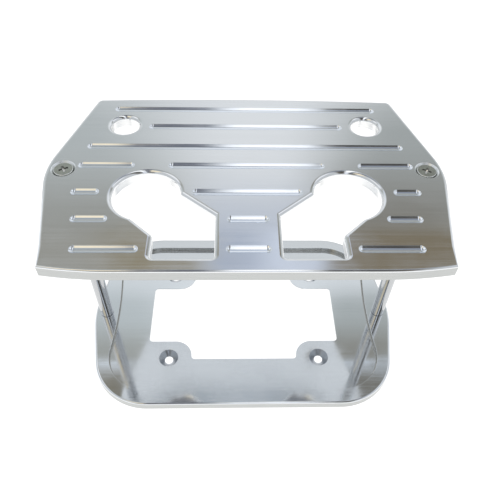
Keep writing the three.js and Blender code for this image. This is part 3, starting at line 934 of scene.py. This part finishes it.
# Soft studio round the object. In the room, x is how far a direction points to the
# right, and the turn runs over the object from the far horizon (0) by the zenith
# (90) to the near horizon (180). Each panel is (colour, x rises from, to, falls
# from, to, the same four turns), laid over the ones before it. The screen stands
# behind the object and is shaded the same way, by its x and z in metres.
ROOM = (0.60, 0.63, 0.66)
PANELS = [
    # the horizon all round and what lies below it
    ((0.90, 0.93, 0.96), (-9, -8, 8, 9), (-200, -199, 22, 44)),
    # pale panels out at both sides
    ((0.95, 0.97, 1.00), (-0.85, -0.68, -0.46, -0.36), (50, 62, 86, 104)),
    ((0.92, 0.95, 1.00), (0.38, 0.48, 0.68, 0.85), (50, 62, 86, 104)),
    # left side: warm panel, blue-grey above it, cream towards the front
    ((0.30, 0.26, 0.17), (-0.48, -0.36, -0.09, -0.045), (30, 34, 52, 56)),
    ((0.37, 0.37, 0.34), (-0.55, -0.42, -0.27, -0.18), (30, 34, 52, 56)),
    ((0.66, 0.70, 0.74), (-0.46, -0.36, -0.09, -0.04), (52, 56, 60.5, 62.5)),
    ((0.22, 0.205, 0.165), (-0.46, -0.36, -0.09, -0.04), (60.5, 62.5, 66, 70)),
    ((0.38, 0.42, 0.45), (-0.44, -0.36, -0.10, -0.03), (66, 70, 90, 98)),
    ((1.02, 0.90, 0.68), (-0.55, -0.42, -0.20, -0.16), (92, 102, 124, 142)),
    ((0.27, 0.26, 0.23), (-0.44, -0.34, -0.10, -0.03), (128, 144, 166, 180)),
    ((0.16, 0.17, 0.20), (-0.21, -0.165, -0.055, -0.02), (58, 68, 150, 168)),
    # right side: darker, darkest towards the front
    ((0.235, 0.20, 0.14), (0.15, 0.20, 0.40, 0.52), (30, 34, 52, 56)),
    ((0.58, 0.63, 0.69), (0.14, 0.19, 0.40, 0.52), (52, 56, 60.5, 62.5)),
    ((0.19, 0.185, 0.165), (0.14, 0.19, 0.40, 0.52), (60.5, 62.5, 66, 72)),
    ((0.25, 0.28, 0.34), (0.14, 0.19, 0.38, 0.52), (66, 72, 88, 96)),
    ((0.16, 0.15, 0.13), (0.14, 0.18, 0.38, 0.50), (88, 98, 158, 174)),
    ((0.07, 0.068, 0.065), (0.15, 0.19, 0.30, 0.38), (90, 100, 126, 142)),
    # strip light overhead
    ((0.48, 0.54, 0.66), (-0.065, -0.02, 0.145, 0.195), (30, 34, 58, 63)),
    ((0.74, 0.81, 0.94), (0.03, 0.08, 0.145, 0.185), (30, 34, 58, 63)),
    ((0.17, 0.18, 0.20), (-0.09, -0.04, 0.14, 0.19), (60, 63, 66, 71)),
    ((1.28, 1.30, 1.32), (-0.03, 0.005, 0.125, 0.165), (66, 73, 112, 140)),
    ((0.84, 0.88, 0.97), (-0.03, 0.005, 0.13, 0.17), (118, 140, 160, 178)),
]
SCREEN_Y, SCREEN_TOP, SCREEN_HALF = 0.24, 0.525, 0.50
SCREEN = (0.86, 0.89, 0.92)
SHADES = [
    ((0.66, 0.68, 0.69), (-3, -2, 2, 3), (-2, -1, 0.20, 0.30)),
    ((0.52, 0.56, 0.57), (-0.60, -0.38, -0.20, 0.00), (0.20, 0.34, 2, 3)),
    ((0.37, 0.38, 0.36), (-0.60, -0.40, -0.16, -0.02), (0.36, 0.50, 2, 3)),
    ((0.42, 0.45, 0.45), (0.04, 0.20, 0.30, 0.55), (0.22, 0.34, 2, 3)),
    ((0.265, 0.26, 0.235), (0.06, 0.16, 0.26, 0.45), (0.35, 0.50, 2, 3)),
    ((0.60, 0.65, 0.74), (-0.10, -0.03, 0.06, 0.15), (0.38, 0.52, 2, 3)),
]


def shade(t, x, y, ground, panels):
    """Colour of the panels laid over each other; x and y are node outputs."""
    def ramp(source, a, b, up):
        r = add(t, "ShaderNodeMapRange", interpolation_type="SMOOTHSTEP")
        r.inputs["From Min"].default_value, r.inputs["From Max"].default_value = a, b
        r.inputs["To Min"].default_value, r.inputs["To Max"].default_value = (0, 1) if up else (1, 0)
        t.links.new(source, r.inputs["Value"])
        return r.outputs["Result"]

    def times(a, b):
        m = add(t, "ShaderNodeMath", operation="MULTIPLY")
        t.links.new(a, m.inputs[0])
        t.links.new(b, m.inputs[1])
        return m.outputs[0]

    last = None
    for color, xs, ys in panels:
        w = times(times(ramp(x, xs[0], xs[1], True), ramp(x, xs[2], xs[3], False)),
                  times(ramp(y, ys[0], ys[1], True), ramp(y, ys[2], ys[3], False)))
        mix = add(t, "ShaderNodeMix", data_type="RGBA", clamp_result=False)
        a, b = [i for i in mix.inputs if i.type == "RGBA"]
        if last is None:
            a.default_value = (*ground, 1)
        else:
            t.links.new(last, a)
        b.default_value = (*color, 1)
        t.links.new(w, mix.inputs[0])
        last = [o for o in mix.outputs if o.type == "RGBA"][0]
    return last


def studio():
    world = bpy.data.worlds.new("studio")
    bpy.context.scene.world = world
    world.use_nodes = True
    t = world.node_tree
    back = t.nodes["Background"]
    co = add(t, "ShaderNodeTexCoord")
    xyz = add(t, "ShaderNodeSeparateXYZ")
    t.links.new(co.outputs["Generated"], xyz.inputs[0])
    turn = add(t, "ShaderNodeMath", operation="ARCTAN2")
    t.links.new(xyz.outputs["Z"], turn.inputs[0])
    t.links.new(xyz.outputs["Y"], turn.inputs[1])
    deg = add(t, "ShaderNodeMath", operation="MULTIPLY")
    deg.inputs[1].default_value = 180 / math.pi
    t.links.new(turn.outputs[0], deg.inputs[0])
    t.links.new(shade(t, xyz.outputs["X"], deg.outputs[0], ROOM, PANELS), back.inputs["Color"])
    back.inputs["Strength"].default_value = 1.0


def screen():
    """Pale screen standing behind the object, out of the camera's sight."""
    mesh = bpy.data.meshes.new("screen")
    h = SCREEN_HALF
    mesh.from_pydata([(-h, SCREEN_Y, 0), (h, SCREEN_Y, 0), (h, SCREEN_Y, SCREEN_TOP), (-h, SCREEN_Y, SCREEN_TOP)], [], [(0, 1, 2, 3)])
    obj = bpy.data.objects.new("screen", mesh)
    bpy.context.scene.collection.objects.link(obj)
    m = bpy.data.materials.new("screen_pale")
    m.use_nodes = True
    t = m.node_tree
    t.nodes.clear()
    out = add(t, "ShaderNodeOutputMaterial")
    glow = add(t, "ShaderNodeEmission")
    co = add(t, "ShaderNodeTexCoord")
    xyz = add(t, "ShaderNodeSeparateXYZ")
    t.links.new(co.outputs["Object"], xyz.inputs[0])
    t.links.new(shade(t, xyz.outputs["X"], xyz.outputs["Z"], SCREEN, SHADES), glow.inputs["Color"])
    t.links.new(glow.outputs[0], out.inputs["Surface"])
    mesh.materials.append(m)
    obj.visible_camera = False
    obj.visible_shadow = False


studio()
screen()

# ---------------------------------------------------------------------- camera
PITCH, YAW, ROLL = rad(48.839586), rad(2.738223), rad(-2.089333)
fwd = Vector((math.sin(YAW) * math.cos(PITCH), math.cos(YAW) * math.cos(PITCH), -math.sin(PITCH)))
right0 = Vector((math.cos(YAW), -math.sin(YAW), 0))
down0 = fwd.cross(right0)
right = right0 * math.cos(ROLL) + down0 * math.sin(ROLL)
down = right0 * -math.sin(ROLL) + down0 * math.cos(ROLL)
cam = bpy.data.cameras.new("camera")
cam.sensor_fit = "HORIZONTAL"
cam.sensor_width = 36
cam.lens = 536.0953 / 500 * 36
cam.clip_end = 100
camera = bpy.data.objects.new("camera", cam)
bpy.context.scene.collection.objects.link(camera)
camera.matrix_world = Matrix((
    (right.x, -down.x, -fwd.x, -0.01067),
    (right.y, -down.y, -fwd.y, -0.31852),
    (right.z, -down.z, -fwd.z, 0.47147),
    (0, 0, 0, 1)))
bpy.context.scene.camera = camera
bpy.context.scene.view_settings.view_transform = "Standard"

bpy.context.view_layer.update()
